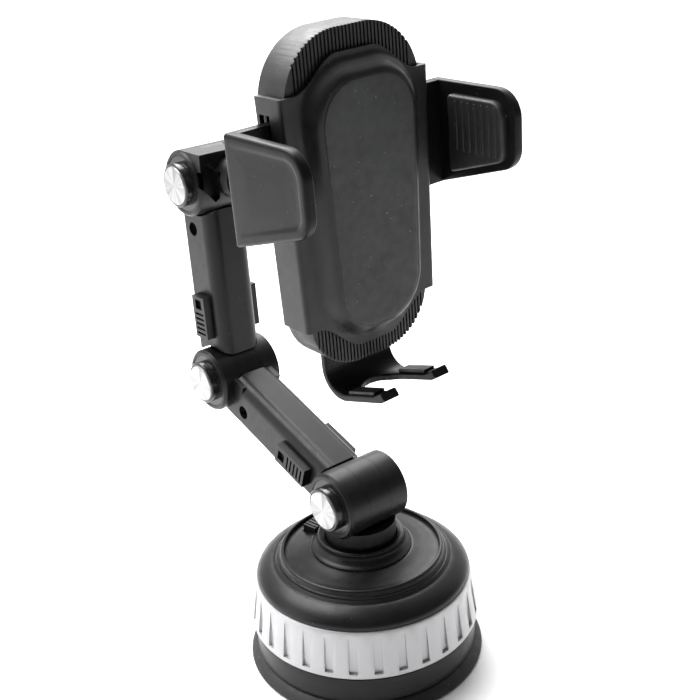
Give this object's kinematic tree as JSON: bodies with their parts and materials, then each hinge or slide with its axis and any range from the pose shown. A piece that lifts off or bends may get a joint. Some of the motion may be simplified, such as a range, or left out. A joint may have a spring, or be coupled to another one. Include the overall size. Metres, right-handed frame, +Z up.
{
  "type": "phone mount",
  "caption": "Dashboard phone mount: twist-lock suction base, folding two-link arm with friction pivots, and a ball-jointed cradle with sliding jaws and a forked foot.",
  "frame": {"origin": "centre of the suction pad's contact face, on the base's axis, in the table plane", "axes": "+Z up along the base's axis, -Y the way the phone cradle faces, +X to the right along the arm's pivots"},
  "size_m": [0.0795, 0.1204, 0.2069],
  "materials": {
    "black_plastic": "fine moulded grain, satin sheen",
    "black_gloss": "smooth moulded gloss",
    "shell_plastic": "satin moulded shell",
    "silver_plastic": "satin silver lacquer over plastic",
    "silver_cap": "spun face, radial sheen",
    "steel": "plated",
    "spring_steel": "bare spring steel",
    "inner_plastic": "unpainted glass-filled plastic",
    "rubber": "soft, dull",
    "pad_rubber": "fine matt skin",
    "brass": "machined"
  },
  "bodies": {
    "base": {"suction_pad": "rubber", "lower_shell": "black_gloss", "base_cover": "black_plastic", "base_rim": "black_gloss", "base_plate": "black_plastic", "base_collar": "black_plastic", "base_screws": "steel", "lift_spring": "spring_steel", "vacuum_spring": "spring_steel"},
    "lock_ring": {"twist_ring": "silver_plastic", "cam_sleeve": "inner_plastic"},
    "vacuum_lift": {"lift_plate": "inner_plastic", "lift_stud": "brass"},
    "vacuum_release": {"vacuum_button": "black_plastic"},
    "swivel": {"swivel_fork": "black_plastic", "swivel_washer": "steel", "swivel_screw": "steel", "bottom_bolt": "steel", "bottom_nut": "steel", "bottom_spring": "spring_steel"},
    "bottom_push": {"bottom_button": "black_gloss", "bottom_cap": "silver_cap"},
    "lower_arm": {"lower_arm_left": "black_plastic", "lower_arm_right": "black_plastic", "lower_arm_screws": "steel", "lower_tab_spring": "spring_steel", "middle_bolt": "steel", "middle_nut": "steel", "middle_spring": "spring_steel"},
    "lower_tab_l": {"lower_tab_left": "black_plastic"},
    "lower_tab_r": {"lower_tab_right": "black_plastic"},
    "middle_push": {"middle_button": "black_gloss", "middle_cap": "silver_cap"},
    "upper_arm": {"upper_arm_left": "black_plastic", "upper_arm_right": "black_plastic", "upper_arm_screws": "steel", "upper_tab_spring": "spring_steel"},
    "upper_tab_l": {"upper_tab_left": "black_plastic"},
    "upper_tab_r": {"upper_tab_right": "black_plastic"},
    "head": {"head_fork": "black_plastic", "ball_stud": "black_gloss", "top_bolt": "steel", "top_nut": "steel", "top_spring": "spring_steel"},
    "top_push": {"top_button": "black_gloss", "top_cap": "silver_cap"},
    "cradle": {"ball_socket": "black_plastic", "ball_nut": "black_plastic", "socket_screws": "steel", "rear_housing": "shell_plastic", "front_cover": "shell_plastic", "front_pad": "pad_rubber", "housing_screws": "steel"},
    "pinion": {"jaw_pinion": "inner_plastic"},
    "jaw_l": {"left_jaw": "shell_plastic", "left_jaw_pad": "rubber"},
    "jaw_r": {"right_jaw": "shell_plastic", "right_jaw_pad": "rubber"},
    "foot": {"foot_bracket": "shell_plastic", "foot_pads": "rubber"}
  },
  "joints": [
    {"name": "ring_twist", "type": "hinge", "parent": "base", "child": "lock_ring", "pos_m": [0, 0, 0.02], "axis": [0, 0, 1], "range_deg": [0, 60]},
    {"name": "vacuum_lift_slide", "type": "slide", "parent": "base", "child": "vacuum_lift", "axis": [0, 0, 1], "range_m": [0, 0.0025], "deforming": ["lift_spring"]},
    {"name": "vacuum_release_press", "type": "slide", "parent": "base", "child": "vacuum_release", "axis": [0, 0, -1], "range_m": [0, 0.0015], "stiffness_N_per_m": 900, "springref_m": -0.0008, "deforming": ["vacuum_spring"]},
    {"name": "base_swivel", "type": "hinge", "parent": "base", "child": "swivel", "pos_m": [0, 0, 0.042], "axis": [0, 0, 1], "continuous": true},
    {"name": "bottom_button_press", "type": "slide", "parent": "swivel", "child": "bottom_push", "axis": [1, 0, 0], "range_m": [0, 0.0011], "stiffness_N_per_m": 900, "springref_m": -0.0008, "deforming": ["bottom_spring"]},
    {"name": "bottom_pivot", "type": "hinge", "parent": "swivel", "child": "lower_arm", "pos_m": [0, 0, 0.0576], "axis": [1, 0, 0], "range_deg": [-8, 60]},
    {"name": "lower_tab_left_press", "type": "slide", "parent": "lower_arm", "child": "lower_tab_l", "axis": [1, 0, 0], "range_m": [0, 0.0012], "stiffness_N_per_m": 900, "springref_m": -0.0008, "deforming": ["lower_tab_spring"]},
    {"name": "lower_tab_right_press", "type": "slide", "parent": "lower_arm", "child": "lower_tab_r", "axis": [-1, 0, 0], "range_m": [0, 0.0012], "stiffness_N_per_m": 900, "springref_m": -0.0008, "deforming": ["lower_tab_spring"]},
    {"name": "middle_button_press", "type": "slide", "parent": "lower_arm", "child": "middle_push", "axis": [1, 0, 0], "range_m": [0, 0.0011], "stiffness_N_per_m": 900, "springref_m": -0.0008, "deforming": ["middle_spring"]},
    {"name": "middle_pivot", "type": "hinge", "parent": "lower_arm", "child": "upper_arm", "pos_m": [0, 0.06733, 0.08013], "axis": [1, 0, 0], "range_deg": [-60, 14]},
    {"name": "upper_tab_left_press", "type": "slide", "parent": "upper_arm", "child": "upper_tab_l", "axis": [1, 0, 0], "range_m": [0, 0.0012], "stiffness_N_per_m": 900, "springref_m": -0.0008, "deforming": ["upper_tab_spring"]},
    {"name": "upper_tab_right_press", "type": "slide", "parent": "upper_arm", "child": "upper_tab_r", "axis": [-1, 0, 0], "range_m": [0, 0.0012], "stiffness_N_per_m": 900, "springref_m": -0.0008, "deforming": ["upper_tab_spring"]},
    {"name": "top_pivot", "type": "hinge", "parent": "upper_arm", "child": "head", "pos_m": [0, 0.06981, 0.15108], "axis": [1, 0, 0], "range_deg": [-45, 14]},
    {"name": "top_button_press", "type": "slide", "parent": "head", "child": "top_push", "axis": [1, 0, 0], "range_m": [0, 0.0011], "stiffness_N_per_m": 900, "springref_m": -0.0008, "deforming": ["top_spring"]},
    {"name": "cradle_spin", "type": "hinge", "parent": "head", "child": "cradle", "pos_m": [0, 0.0182, 0.15349], "axis": [0, 1, 0], "continuous": true},
    {"name": "right_jaw_slide", "type": "slide", "parent": "cradle", "child": "jaw_r", "axis": [0.9993, 0, 0.0366], "range_m": [-0.006, 0.012]},
    {"name": "left_jaw_slide", "type": "slide", "parent": "cradle", "child": "jaw_l", "axis": [-0.9993, 0, -0.0366], "range_m": [-0.0061, 0.0121]},
    {"name": "pinion_spin", "type": "hinge", "parent": "cradle", "child": "pinion", "pos_m": [0.00047, -0.0023, 0.16999], "axis": [0, 1, 0], "range_deg": [-58, 116]},
    {"name": "foot_slide", "type": "slide", "parent": "cradle", "child": "foot", "axis": [0.0366, 0, -0.9993], "range_m": [0, 0.016]}
  ],
  "couplings": [
    {"joint": "vacuum_lift_slide", "follows": "ring_twist", "m_per_rad": 0.0023873},
    {"joint": "left_jaw_slide", "follows": "right_jaw_slide", "ratio": 1},
    {"joint": "pinion_spin", "follows": "right_jaw_slide", "rad_per_m": 166.67}
  ]
}
